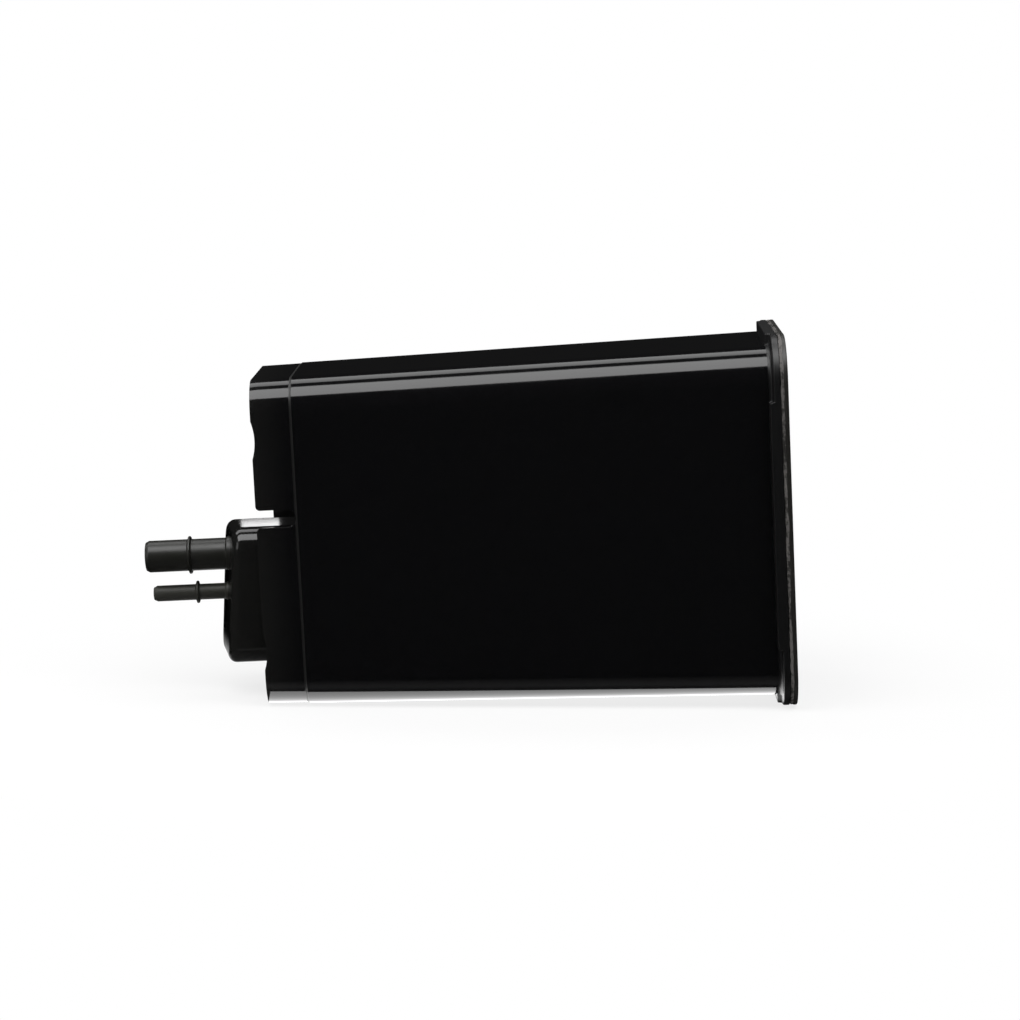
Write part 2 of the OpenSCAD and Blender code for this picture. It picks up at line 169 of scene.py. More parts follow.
square = carry(soft([(0, 0), (1, 0), (1, 1)], [0.5]), box_path(), half=(2, 2), radius=1.0)
print("a profile with one soft corner, carried round a box:", square.shape[:2], "points")

# %% [markdown]
# ## From arrays to faces
# A grid of points becomes quads by one index array. Rings close on themselves, the rows can close too, and
# an end ring can be capped by one flat face.

# %% Grids and shells


def grid_faces(rows, cols, wrap_rows=False):
    """Quads between neighbouring rows and columns of a grid of rings, as an index array."""
    index = np.arange(rows * cols).reshape(rows, cols)
    index = np.concatenate([index, index[:, :1]], 1)
    if wrap_rows:
        index = np.concatenate([index, index[:1]], 0)
    return np.stack([index[:-1, :-1], index[:-1, 1:], index[1:, 1:], index[1:, :-1]], -1)


def shell(grid, caps=True, wrap_rows=False):
    """A ring grid as points and faces, with its first and last rings capped."""
    rows, cols = grid.shape[:2]
    faces = grid_faces(rows, cols, wrap_rows).reshape(-1, 4).tolist()
    if caps:
        faces += [list(range(cols)), list(range((rows - 1) * cols, rows * cols))]
    return grid.reshape(-1, 3), faces


print("faces of that shell with its two caps:", len(shell(square)[1]))

# %% [markdown]
# ## From faces to pieces
# Doubled points are merged, closed shells get their normals pointed outwards, and edges that are still
# sharper than 35 degrees are marked, so that flat faces stay flat under smooth shading. A piece's object
# sits at the origin, with its place in its mesh. It rides on the body and stands for the solid that it
# dresses.

# %% Mesh builder
SHARP = math.radians(35)
DOUBLE, TINY = 0.002 * MM, 0.001 * MM


def piece(name, shells, material, node, closed=True):
    """Joins shells into one object at the origin, rides it on the body and lets it stand for a solid."""
    points, faces, first = [], [], 0
    for p, f in shells:
        points.append(p)
        faces += [[i + first for i in face] for face in f]
        first += len(p)
    points = (np.concatenate(points) + [DECK_X, 0, AXIS_Z]) * MM
    mesh = bpy.data.meshes.new(name)
    mesh.from_pydata(points.tolist(), [], faces)
    bm = bmesh.new()
    bm.from_mesh(mesh)
    bmesh.ops.remove_doubles(bm, verts=bm.verts, dist=DOUBLE)
    bmesh.ops.dissolve_degenerate(bm, edges=bm.edges, dist=TINY)
    if closed:
        bmesh.ops.recalc_face_normals(bm, faces=bm.faces)
    for edge in bm.edges:
        edge.smooth = edge.calc_face_angle(0) < SHARP
    for face in bm.faces:
        face.smooth = True
    bm.to_mesh(mesh)
    bm.free()
    mesh.materials.append(material)
    made = bpy.data.objects.new(name, mesh)
    bpy.context.scene.collection.objects.link(made)
    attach(made, "root")
    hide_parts(node)
    print(f"{name}: {len(mesh.polygons)} faces")
    return made


# %% [markdown]
# ## Colours and nodes
# Colours are written as they look on screen, in sRGB hex, and one function turns them to linear light. One
# small function adds a shader node: plain values go on its sockets, and a socket given as a value becomes
# a link. Patterns read Object coordinates, and their scale is worked out from a size in millimetres.

# %% Material helpers
NYLON_BLACK, NYLON_IOR = "#0b0b0c", 1.53
# The part of a noise texture's range in which most of its values lie.
NOISE_SPAN = {"From Min": 0.3, "From Max": 0.7}


def srgb(code):
    """An sRGB hex colour as linear RGBA: a straight line near black, and a power of 2.4 above it."""
    c = np.array([int(code[i:i + 2], 16) for i in (1, 3, 5)]) / 255
    c = np.where(c <= 0.04045, c / 12.92, ((c + 0.055) / 1.055) ** 2.4)
    return (*c.tolist(), 1.0)


def per_mm(size):
    """The texture scale at which one feature is about this many millimetres wide."""
    return 1 / (size * MM)


def add(tree, kind, inputs, **settings):
    """Adds a node, sets its properties, and fills its inputs with values or links."""
    made = tree.nodes.new(kind)
    for key, value in settings.items():
        setattr(made, key, value)
    for key, value in inputs.items():
        if isinstance(value, bpy.types.NodeSocket):
            tree.links.new(value, made.inputs[key])
        else:
            made.inputs[key].default_value = value
    return made


def surface(name, colour, **values):
    """A Principled material with its constants on the shader's own sockets, and its Object coordinates."""
    made = bpy.data.materials.new(name)
    made.use_nodes = True
    made.diffuse_color = srgb(colour)
    shader = made.node_tree.nodes["Principled BSDF"]
    shader.inputs["Base Color"].default_value = srgb(colour)
    for key, value in values.items():
        shader.inputs[key.replace("_", " ")].default_value = value
    place = add(made.node_tree, "ShaderNodeTexCoord", {}).outputs["Object"]
    return made, made.node_tree, shader, place


print("black nylon in linear light:", [round(c, 4) for c in srgb(NYLON_BLACK)[:3]])

# %% [markdown]
# ## Gloss nylon
# The box is glass-filled nylon from a polished mould. It is jet black, and all that shows is what it
# mirrors: two soft stripes along its upper edge. A mirror-flat shader would look like glass, so a very faint
# waviness of about 9 mm, the sink that a moulder knows from thick ribs, and a finer one of 1.4 mm bend the
# reflections a little. The roughness drifts a bit too, as handled plastic does. The mould's flange plates
# aren't polished, so from the flange on the roughness rises to a satin grey. A narrow band along the line
# where the mould's halves part at the deck is paler and rougher, and towards the ports the black turns
# paler too.

# %% Gloss nylon of the box
SINK_SIZE, RIPPLE_SIZE, HANDLING_SIZE = 9, 1.4, 26
POLISHED, UNPOLISHED, PARTING_ROUGH = (0.085, 0.125), 0.42, 0.5
LAND_T, LAND_FADE = 2.0, 0.3
LAND_X = FLANGE_X - LAND_T
# The parting line's place, and the half width and fade of the paler, rougher band along it (mm).
PARTING_X, PARTING_HALF, PARTING_FADE = -0.3, 0.2, 0.9
# Towards the ports the black turns paler between these places (mm), up to this colour.
PORT_PALE, PALE_BLACK = (-25, -4), "#181817"


def gloss_nylon():
    """Polished-mould nylon: faintly wavy black with handling marks, a satin flange, a pale parting band, a
    paler port end.
    """
    made, tree, shader, place = surface("moulded_gloss_nylon", NYLON_BLACK, IOR=NYLON_IOR)
    sink = add(tree, "ShaderNodeTexNoise", {"Vector": place, "Scale": per_mm(SINK_SIZE), "Detail": 1.0})
    ripple = add(tree, "ShaderNodeTexNoise", {"Vector": place, "Scale": per_mm(RIPPLE_SIZE), "Detail": 2.0})
    marks = add(tree, "ShaderNodeTexNoise", {"Vector": place, "Scale": per_mm(HANDLING_SIZE), "Detail": 4.0})
    polish = add(tree, "ShaderNodeMapRange",
                 {"Value": marks.outputs["Fac"], **NOISE_SPAN, "To Min": POLISHED[0], "To Max": POLISHED[1]})
    along = add(tree, "ShaderNodeSeparateXYZ", {"Vector": place}).outputs["X"]
    land = (DECK_X + LAND_X) * MM
    satin = add(tree, "ShaderNodeMapRange",
                {"Value": along, "From Min": land - LAND_FADE * MM, "From Max": land,
                 "To Min": polish.outputs["Result"], "To Max": UNPOLISHED})
    # A narrow band along the parting line gets a paler colour and a higher roughness.
    parting = add(tree, "ShaderNodeMath", {0: along, 1: (DECK_X + PARTING_X) * MM}, operation="SUBTRACT")
    off_line = add(tree, "ShaderNodeMath", {0: parting.outputs["Value"]}, operation="ABSOLUTE")
    parting_band = add(tree, "ShaderNodeMapRange",
                {"Value": off_line.outputs["Value"], "From Min": PARTING_HALF * MM,
                 "From Max": PARTING_FADE * MM, "To Min": 1.0, "To Max": 0.0})
    rough = add(tree, "ShaderNodeMapRange",
                {"Value": parting_band.outputs["Result"], "To Min": satin.outputs["Result"], "To Max": PARTING_ROUGH})
    # The colour turns paler towards the ports.
    pale_x, black_x = ((DECK_X + x) * MM for x in PORT_PALE)
    port_pale = add(tree, "ShaderNodeMapRange",
               {"Value": along, "From Min": pale_x, "From Max": black_x, "To Min": 1.0, "To Max": 0.0})
    pale = add(tree, "ShaderNodeMath", {0: parting_band.outputs["Result"], 1: port_pale.outputs["Result"]},
               operation="MAXIMUM")
    # Inputs 0, 6 and 7 and output 2 are the Mix node's factor, its two colours and its colour result.
    colour = add(tree, "ShaderNodeMix",
                 {0: pale.outputs["Value"], 6: srgb(NYLON_BLACK), 7: srgb(PALE_BLACK)}, data_type="RGBA")
    waves = add(tree, "ShaderNodeBump",
                {"Height": sink.outputs["Fac"], "Strength": 0.06, "Distance": 0.2 * MM})
    bump = add(tree, "ShaderNodeBump",
               {"Height": ripple.outputs["Fac"], "Strength": 0.05, "Distance": 0.05 * MM,
                "Normal": waves.outputs["Normal"]})
    tree.links.new(colour.outputs[2], shader.inputs["Base Color"])
    tree.links.new(rough.outputs["Result"], shader.inputs["Roughness"])
    tree.links.new(bump.outputs["Normal"], shader.inputs["Normal"])
    return made


GLOSS = gloss_nylon()
print("made", GLOSS.name)

# %% [markdown]
# ## Satin nylon
# The spigots are formed in the mould by sliding cores, which are spark-eroded rather than polished. They
# come out satin: the same black, but with a fine grain of about 0.5 mm that spreads the light into a broad
# grey sheen. The core of the small purge spigot is worn, so that one is duller and paler. The cover comes
# from a mould of its own with a slightly coarser grain.

# %% Satin nylon of the spigots and the cover
DRIFT_SIZE = 14


def satin_nylon(name, colour, low, high, grain):
    """Spark-eroded nylon: a fine grain in height, and a roughness that drifts between low and high."""
    made, tree, shader, place = surface(name, colour, IOR=NYLON_IOR)
    fine = add(tree, "ShaderNodeTexNoise", {"Vector": place, "Scale": per_mm(grain), "Detail": 3.0})
    drift = add(tree, "ShaderNodeTexNoise", {"Vector": place, "Scale": per_mm(DRIFT_SIZE), "Detail": 2.0})
    rough = add(tree, "ShaderNodeMapRange",
                {"Value": drift.outputs["Fac"], **NOISE_SPAN, "To Min": low, "To Max": high})
    bump = add(tree, "ShaderNodeBump",
               {"Height": fine.outputs["Fac"], "Strength": 0.12, "Distance": 0.06 * MM})
    tree.links.new(rough.outputs["Result"], shader.inputs["Roughness"])
    tree.links.new(bump.outputs["Normal"], shader.inputs["Normal"])
    return made


SATIN = satin_nylon("moulded_satin_nylon", "#1b1b17", low=0.35, high=0.43, grain=0.5)
DULL = satin_nylon("moulded_dull_nylon", "#2c2c26", low=0.5, high=0.58, grain=0.5)
COVER_BLACK = satin_nylon("cover_satin_nylon", "#1c1b18", low=0.4, high=0.5, grain=0.6)
print("made", SATIN.name, DULL.name, COVER_BLACK.name)

# %% [markdown]
# ## The box
# The box is one moulding: drafted walls with round long edges, and a flange. Its profile runs from the deck
# along the outside, over the flange, and back along the inside, so that the wall has its real thickness. The
# flange is thicker along its four sides, on lands where the weld's clamp pushes, than at its corners, where
# a fillet leads up to it. Two profiles with the same number of points, blended along the path, give those
# steps.

# %% The drafted box with its flange
LAND_Y, LAND_Z, LAND_RAMP = 33.0, 60.0, 0.8
LAND_FILLET, LAND_EDGE, CORNER_FILLET, CORNER_EDGE = 0.4, 0.6, 1.9, 0.9
DECK_EDGE, SEAM_EDGE, MOUTH_EDGE, INNER_FILLET = 0.35, 0.45, 0.3, 2.0
# How far a flat end runs in from its edge before one flat face closes it.
CAP_BORDER = 6
# A path point is on a flat side, and not on a corner, where its normal is this near to an axis.
ON_FLAT = 0.999
BODY = dict(half=(DECK_HALF_Y, DECK_HALF_Z), radius=CORNER_R, growth=DRAFT)

reach_y, reach_z = (half + FLANGE_X * DRAFT - CORNER_R for half in (DECK_HALF_Y, DECK_HALF_Z))
# Path points over the step at a land's end, closest where it bends.
ramp = LAND_RAMP * np.array([-1, -0.55, -0.4, 0, 0.4, 0.55, 1])
land_side, land_top = (
    np.unique(np.concatenate([FLAT, (land + ramp) / reach, -(land + ramp) / reach]))
    for land, reach in ((LAND_Z, reach_z), (LAND_Y, reach_y)))
body_path = box_path(land_side, land_top)


def body_profile(near_x, fillet, edge):
    """The box's wall in section, for one place of the flange's near face, its fillet and its edge."""
    return soft(
        [(0, -CAP_BORDER), (0, 0), (near_x, 0), (near_x, FLANGE_PROUD), (SEAM_X, FLANGE_PROUD),
         (SEAM_X, -WALL), (DECK_T, -WALL), (DECK_T, -WALL - CAP_BORDER)],
        [DECK_EDGE, fillet, edge, SEAM_EDGE, MOUTH_EDGE, INNER_FILLET], FINE_STEPS)


# How thin the flange is, from 0 on a land to 1 at the corners, by the distance past the land's end.
cy, cz, ny, nz = np.abs(body_path.T)
past_side, past_top = cz * reach_z - LAND_Z, cy * reach_y - LAND_Y
past_land = np.where(ny > ON_FLAT, past_side, np.where(nz > ON_FLAT, past_top, LAND_RAMP))
thin = np.clip(past_land / LAND_RAMP + 0.5, 0, 1)[None, :, None]
on_land = body_profile(LAND_X, LAND_FILLET, LAND_EDGE)[:, None]
at_corner = body_profile(FLANGE_X, CORNER_FILLET, CORNER_EDGE)[:, None]
profile = on_land * (1 - thin) + at_corner * thin
piece("canister_box", [shell(carry(profile, body_path, **BODY))], GLOSS, "housing")

# %% [markdown]
# ## The skirt's outline
# Past the deck, the walls run on as a skirt that shields the ports. It stands in by a small step at the
# mould's parting line, has a round-ended slot at the front and rear, and two shallow dips on each of those
# sides. The rim is a curve over the path: its full length, less an arc at each dip and a rounding at the
# slot's mouth. Extra path points at the dips and the slot let a plain grid follow them.

# %% The skirt's outline
SKIRT_LEN, SKIRT_STEP, SKIRT_SINK = 19.8, 0.4, 1.2
SLOT_W, SLOT_Z, SLOT_END, MOUTH_R = 8.6, 13.3, 0.4, 2.2
DIP_W, DIP_DEPTH, DIP_Z = 18.5, 1.5, 52.0
SLOT_STEPS, MOUTH_STEPS, DIP_STEPS = 19, 7, 15
SIDE_FILL = np.linspace(-0.7, 0.7, 9)
HAIR = 1e-3

corner_z = DECK_HALF_Z - CORNER_R
slot_marks = SLOT_Z - SLOT_W / 2 * np.cos(np.linspace(0, np.pi, SLOT_STEPS))
mouth_half = SLOT_W / 2 + MOUTH_R * (1 - np.sin(np.linspace(0, np.pi / 2, MOUTH_STEPS)))
dip_marks = np.concatenate([s * DIP_Z + DIP_W / 2 * np.linspace(-1, 1, DIP_STEPS) for s in (-1, 1)])
skirt_marks = np.concatenate([slot_marks, SLOT_Z - mouth_half, SLOT_Z + mouth_half, dip_marks]) / corner_z
skirt_side = np.unique(np.concatenate([FLAT, SIDE_FILL, skirt_marks]).round(6))
skirt_path = box_path(side=skirt_side)

on_side = np.abs(skirt_path[:, 2]) > ON_FLAT
side_z = skirt_path[:, 1] * corner_z
slot_off = np.abs(side_z - SLOT_Z)
in_slot = on_side & (slot_off <= SLOT_W / 2 + HAIR)
# A dip is an arc: its depth is the root of radius squared less offset squared, less the radius, plus the
# full depth in its middle.
dip_r = ((DIP_W / 2) ** 2 + DIP_DEPTH ** 2) / (2 * DIP_DEPTH)
dip_off = np.minimum(np.abs(np.abs(side_z) - DIP_Z), DIP_W / 2)
dip = np.where(on_side, np.sqrt(dip_r ** 2 - dip_off ** 2) - (dip_r - DIP_DEPTH), 0)
mouth_in = np.clip(SLOT_W / 2 + MOUTH_R - slot_off, 0, MOUTH_R)
mouth = np.where(on_side, MOUTH_R - np.sqrt(MOUTH_R ** 2 - mouth_in ** 2), 0)
rim = -SKIRT_LEN + dip + mouth
# The slot's inner end is a half circle, and elsewhere the same row runs straight.
slot_mouth = -SLOT_END - SLOT_W / 2
round_end = slot_mouth + np.sqrt(np.maximum((SLOT_W / 2) ** 2 - (side_z - SLOT_Z) ** 2, 0))
inner = np.where(in_slot, round_end, slot_mouth)
print("slot columns:", int(in_slot.sum()), "rim from", round(rim.min(), 2), "to", round(rim.max(), 2))

# %% [markdown]
# ## The skirt
# The outer sheet is a grid from the rim to a little behind the deck. In the slot's columns the faces outside
# its round end are left out. Solidify gives the sheet its wall and Bevel breaks the edges. An open sheet has
# no inside, so its normals are turned by hand if they point at the axis.

# %% The skirt round the ports
RIM_ROWS, BASE_ROWS = 5, 4
SKIRT_EDGE, SKIRT_EDGE_STEPS = 0.8, 3
SKIRT_EDGE_FROM = math.radians(50)

outer_rows = np.linspace(0, 1, RIM_ROWS)[:, None] * (slot_mouth - rim) + rim
base_rows = np.linspace(0, 1, BASE_ROWS)[1:, None] * (SKIRT_SINK - inner) + inner
stations = np.concatenate([outer_rows[:-1], inner[None], base_rows])
skirt_profile = np.stack([stations, np.full_like(stations, -SKIRT_STEP)], -1)
skirt_grid = carry(skirt_profile, skirt_path, **BODY)

faces = grid_faces(*skirt_grid.shape[:2])
slot_columns = in_slot & np.roll(in_slot, -1)
slot_rows = np.arange(len(faces)) < len(outer_rows) - 1
keep = ~(slot_columns[None, :] & slot_rows[:, None])
skirt = piece("port_skirt", [(skirt_grid.reshape(-1, 3), faces[keep].tolist())], GLOSS,
              "housing", closed=False)
normals = np.array([p.normal for p in skirt.data.polygons])
centres = np.array([p.center for p in skirt.data.polygons]) - [0, 0, AXIS_Z * MM]
if (normals[:, 1:] * centres[:, 1:]).sum() < 0:
    skirt.data.flip_normals()
wall = skirt.modifiers.new("wall", "SOLIDIFY")
wall.thickness, wall.offset, wall.use_even_offset = WALL * MM, -1.0, True
edges = skirt.modifiers.new("edges", "BEVEL")
edges.width, edges.segments = SKIRT_EDGE * MM, SKIRT_EDGE_STEPS
edges.limit_method, edges.angle_limit = "ANGLE", SKIRT_EDGE_FROM
print("faces left out for the slots:", int((~keep).sum()))

# %% [markdown]
# ## The port dome
# The tank and purge spigots stand on a hollow dome that gathers the vapour behind them. It is a deep block
# with large round long edges. Its end face leans, so that the mould can slide off, and it is turned, so that
# its rear edge stands further out. A quarter arc carried round a rounded rectangle gives the end's edges and
# corners at once. The lean and the turn are a shear of the end's points along the canister, which leaves the
# other four sides as they are.

# %% The port dome
DOME_LEN, DOME_R, DOME_SIDE_R, DOME_FILLET = 39.2, 4.5, 10.0, 2.0
DOME_TURN_ANGLE, DOME_LEAN_ANGLE = math.radians(10.5), math.radians(4.7)
DOME_TURN = math.tan(DOME_TURN_ANGLE)
DOME_LEAN = math.tan(DOME_LEAN_ANGLE) / math.cos(DOME_TURN_ANGLE)
DOME_HALF_Y, DOME_TOP, DOME_FOOT = 23.0, 5.0, -62.5
DOME_STEPS, DOME_PAST_ARC, DOME_SUNK_EDGE = 11, 0.3, 0.01
TANK_Z, PURGE_Z = -9.9, -28.7

quarter = np.linspace(0, np.pi / 2, DOME_STEPS)
dome_end = np.stack([-DOME_LEN + DOME_R * (1 - np.cos(quarter)), DOME_R * (np.sin(quarter) - 1)], 1)
dome_foot = soft(
    [(-DOME_LEN + DOME_R + DOME_PAST_ARC, 0), (0, 0), (0, 2 * DOME_FILLET), (DECK_T / 2, 2 * DOME_FILLET)],
    [DOME_FILLET, DOME_SUNK_EDGE], FINE_STEPS)
dome_profile = np.concatenate([dome_end, dome_foot])
dome_half_z = (DOME_TOP - DOME_FOOT) / 2
dome_grid = carry(dome_profile, box_path(), (DOME_HALF_Y, dome_half_z), DOME_SIDE_R,
                  centre=(0, (DOME_TOP + DOME_FOOT) / 2))
at_end = (dome_profile[:, 0] < -DOME_LEN / 2)[:, None]
dome_grid[..., 0] += at_end * ((dome_grid[..., 2] - TANK_Z) * DOME_LEAN - dome_grid[..., 1] * DOME_TURN)
piece("port_dome", [shell(dome_grid)], GLOSS, "housing")

# %% [markdown]
# ## The spigots
# A hose or quick connector slides over a spigot and snaps behind its bead. Each spigot is a profile carried
# round a circle: a flared root, the wall, the rounded bead, a tapered tip, and then back inside as the bore.
# The vent spigot has no bead, and it stays inside the skirt.

# %% Tank, purge and vent spigots
TANK_OD, TANK_BORE, TANK_BEAD = 15.8, 11.8, 18.8
PURGE_OD, PURGE_BORE, PURGE_BEAD, PURGE_LEN = 7.9, 4.6, 11.2, 36.6
VENT_LEN, VENT_Z = 15.0, 46.5
BEAD_FROM_TIP, BEAD_HALF, BEAD_SLOPE = 22.0, 0.5, 0.5
TIP_LEN, TIP_DROP, ROOT_FLARE, ROOT_SINK = 1.8, 0.9, 0.8, 2.1
ROOT_RADII, BEAD_RADII, TIP_RADII = [0.3, 1.0], [0.4, 0.5, 0.5, 0.4], [0.9, 0.45, 0.4]


def spigot(face, tip, height, od, bore, bead=None):
    """A turned spigot from its root, sunk behind x = face, to its tip, with its bore running to the root."""
    r, b = od / 2, tip + BEAD_FROM_TIP
    points = [(face + ROOT_SINK, r + ROOT_FLARE), (face, r + ROOT_FLARE), (face - ROOT_FLARE, r)]
    radii = list(ROOT_RADII)
    if bead:
        points += [(b + BEAD_HALF + BEAD_SLOPE, r), (b + BEAD_HALF, bead / 2),
                   (b - BEAD_HALF, bead / 2), (b - BEAD_HALF - BEAD_SLOPE, r)]
        radii += BEAD_RADII
    points += [(tip + TIP_LEN, r), (tip, r - TIP_DROP), (tip, bore / 2), (face, bore / 2)]
    radii += TIP_RADII
    return shell(carry(soft(points, radii), round_path(), centre=(0, height)))


# The dome's end face leans, so the purge spigot starts where that face is at its height.
purge_face = -DOME_LEN + (PURGE_Z - TANK_Z) * DOME_LEAN
tank_spigot = spigot(-DOME_LEN, -SPIGOT_REACH, TANK_Z, TANK_OD, TANK_BORE, TANK_BEAD)
purge_spigot = spigot(purge_face, purge_face - PURGE_LEN, PURGE_Z, PURGE_OD, PURGE_BORE, PURGE_BEAD)
vent_spigot = spigot(0, -VENT_LEN, VENT_Z, TANK_OD, TANK_BORE)
piece("hose_spigots", [tank_spigot, vent_spigot], SATIN, "housing")
piece("purge_hose_spigot", [purge_spigot], DULL, "housing")

# %% [markdown]
# ## The cover
# The cover is a shallow dish with a rim as wide as the flange. Its section starts inside, runs out under the
# rim, leaves the groove of the weld, goes over the rim, and comes down into the dish. Crossed ribs stiffen
# the dish's floor, and the long ones lie a hair lower, so that no two faces share a place where they cross.

# %% The welded cover
DISH_DEPTH, PANEL_T, FIT_GAP = 6.0, 2.5, 0.3
BEVEL_DROP, BEVEL_LEN = 0.5, 1.3
COVER_RADII = [0.4, 0.3, 0.2, 0.2, 0.2, 1.0, 0.7, 0.6, 0.8]
PANEL_X = END_X - DISH_DEPTH - PANEL_T

lip = -(WALL + FIT_GAP)
dish = lip - PANEL_T
groove = FLANGE_PROUD - SEAM_INSET
cover_profile = soft(
    [(PANEL_X, lip - CAP_BORDER), (PANEL_X, lip), (SEAM_X, lip), (SEAM_X, groove), (COVER_X, groove),
     (COVER_X, FLANGE_PROUD - BEVEL_DROP), (COVER_X + BEVEL_LEN, FLANGE_PROUD), (END_X, FLANGE_PROUD),
     (END_X, dish), (PANEL_X + PANEL_T, dish), (PANEL_X + PANEL_T, dish - CAP_BORDER)], COVER_RADII)
cover_shells = [shell(carry(cover_profile, box_path(), **BODY))]
print("points in the cover's section:", len(cover_profile))

# %% [markdown]
# ## The cover's ribs
# A rib is a small box with a rounded top edge: its profile goes up from inside the dish's floor and over
# the edge, and its path is a rounded rectangle as long as the dish and as wide as the rib. The ribs reach
# a little into the dish's wall.

# %% The ribs and the cover's piece
RIB_T, RIB_DROP, RIB_EDGE, RIB_SINK, RIB_ROOT = 2.0, 1.0, 0.4, 0.12, 0.5
# The ribs' places, counted from the middle, and the parts that they cut each half of the dish into.
CROSS_RIBS, CROSS_PARTS, LONG_RIBS, LONG_PARTS = range(-2, 3), 3, range(-1, 2), 2
RIB_ENDS, RIB_ARC_STEPS = np.array([-1, 1]), 4

floor_x, rib_top = PANEL_X + PANEL_T - RIB_ROOT, END_X - RIB_DROP
half_y = DECK_HALF_Y + PANEL_X * DRAFT + dish + RIB_ROOT
half_z = DECK_HALF_Z + PANEL_X * DRAFT + dish + RIB_ROOT
rib_profile = soft([(floor_x, 0), (rib_top, 0), (rib_top, -RIB_EDGE * 2)], [RIB_EDGE])
flange_half_y, flange_half_z = housing_hi[1] - FLANGE_PROUD, housing_hi[2] - AXIS_Z - FLANGE_PROUD
ribs = [(0, i * flange_half_z / CROSS_PARTS, half_y, RIB_T / 2, 0) for i in CROSS_RIBS]
ribs += [(j * flange_half_y / LONG_PARTS, 0, RIB_T / 2, half_z, RIB_SINK) for j in LONG_RIBS]
rib_path = box_path(RIB_ENDS, RIB_ENDS, RIB_ARC_STEPS)
for y, z, hy, hz, sunk in ribs:
    profile = rib_profile - np.array([sunk, 0])
    cover_shells.append(shell(carry(profile, rib_path, (hy, hz), 2 * RIB_EDGE, centre=(y, z))))
piece("welded_cover", cover_shells, COVER_BLACK, "end_cover")

# %% [markdown]
# ## The weld's finish
# Hot-plate welding squeezes a little molten nylon out of the joint, and the plate tears its skin off. What
# sets is rough and full of pale fibre ends. They lie in blotches of about 1.6 mm, and there are more of them
# on some stretches, of about 24 mm, where the plate stuck.

# %% Torn nylon of the weld
TORN_ROUGH, STRETCH_SHARE = 0.65, 0.8
TORN_DARK, TORN_PALE = 0.83, 1.0


def torn_nylon(name, dark, pale, blotch, stretch):
    """Nylon torn off a hot plate: blotches of pale fibre ends in a dark melt, more on some stretches."""
    made, tree, shader, place = surface(name, pale, IOR=NYLON_IOR, Roughness=TORN_ROUGH)
    blots = add(tree, "ShaderNodeTexNoise", {"Vector": place, "Scale": per_mm(blotch), "Detail": 4.0})
    runs = add(tree, "ShaderNodeTexNoise", {"Vector": place, "Scale": per_mm(stretch), "Detail": 1.0})
    fibres = add(tree, "ShaderNodeMath",
                 {0: runs.outputs["Fac"], 1: STRETCH_SHARE, 2: blots.outputs["Fac"]},
                 operation="MULTIPLY_ADD")
    tone = add(tree, "ShaderNodeValToRGB", {"Fac": fibres.outputs["Value"]})
    low, high = tone.color_ramp.elements
    low.position, low.color = TORN_DARK, srgb(dark)
    high.position, high.color = TORN_PALE, srgb(pale)
    bump = add(tree, "ShaderNodeBump",
               {"Height": blots.outputs["Fac"], "Strength": 0.5, "Distance": 0.2 * MM})
    tree.links.new(tone.outputs["Color"], shader.inputs["Base Color"])
    tree.links.new(bump.outputs["Normal"], shader.inputs["Normal"])
    return made


FLASH = torn_nylon("torn_weld_nylon", "#1d1c19", "#555250", blotch=1.6, stretch=24)
print("made", FLASH.name)

# %% [markdown]
# ## The weld
# The melt sets as an uneven bead that fills the groove between flange and cover. A flat oval carried round
# the rim, with its size and place moved by smooth random steps, gives that. The random numbers are seeded,
# so the bead is the same on each run.

# %% The weld's bead
WELD_WIDE, WELD_HIGH, WELD_STEPS, WELD_ARC_STEPS, WELD_SIDES = 0.95, 0.42, 120, 20, 12
WELD_PAST_SEAM, WELD_SINK, WELD_CLEAR = 0.2, 0.48, 0.02
WELD_SMALLEST, WELD_LARGEST = 0.6, 1.3


def wander(count, spread, smooth, seed):
    """Random steps on a closed loop, smoothed by a running mean and scaled to the spread."""
    noise = np.random.default_rng(seed).standard_normal(count)
    loop = np.concatenate([noise[-smooth:], noise, noise[:smooth]])
    run = np.convolve(loop, np.ones(smooth) / smooth, "same")[smooth:-smooth]
    return spread * run / run.std()


weld_marks = np.linspace(-1, 1, WELD_STEPS)
weld_path = box_path(weld_marks, weld_marks, WELD_ARC_STEPS)
count = len(weld_path)
ring = np.linspace(0, 2 * np.pi, WELD_SIDES + 1)[:-1][:, None]
swell = 1 + wander(count, spread=0.12, smooth=3, seed=4) + wander(count, spread=0.1, smooth=11, seed=7)
weld_size = np.clip(swell, WELD_SMALLEST, WELD_LARGEST)
middle_x = COVER_X + WELD_PAST_SEAM + wander(count, spread=0.1, smooth=4, seed=5)
middle_out = FLANGE_PROUD - WELD_SINK + wander(count, spread=0.08, smooth=3, seed=6)
weld_x = middle_x + WELD_WIDE * weld_size * np.cos(ring)
weld_out = np.minimum(middle_out + WELD_HIGH * weld_size * np.sin(ring), FLANGE_PROUD - WELD_CLEAR)
weld_grid = carry(np.stack([weld_x, weld_out], -1), weld_path, **BODY)
piece("weld_bead", [shell(weld_grid, caps=False, wrap_rows=True)], FLASH, "end_cover")

# %% [markdown]
# ## What is inside
# The beds, fleece pads, plates and springs are out of sight, so their solids stay as they are. They still
# get the finish of the real thing. The beds are packed carbon pellets of about 2 mm. Cells of that size,
# raised in the middle and dark at their borders as painted shade in the gaps, look like them and cost no
# faces.

# %% Carbon of the beds
PELLET_SIZE = 2.2


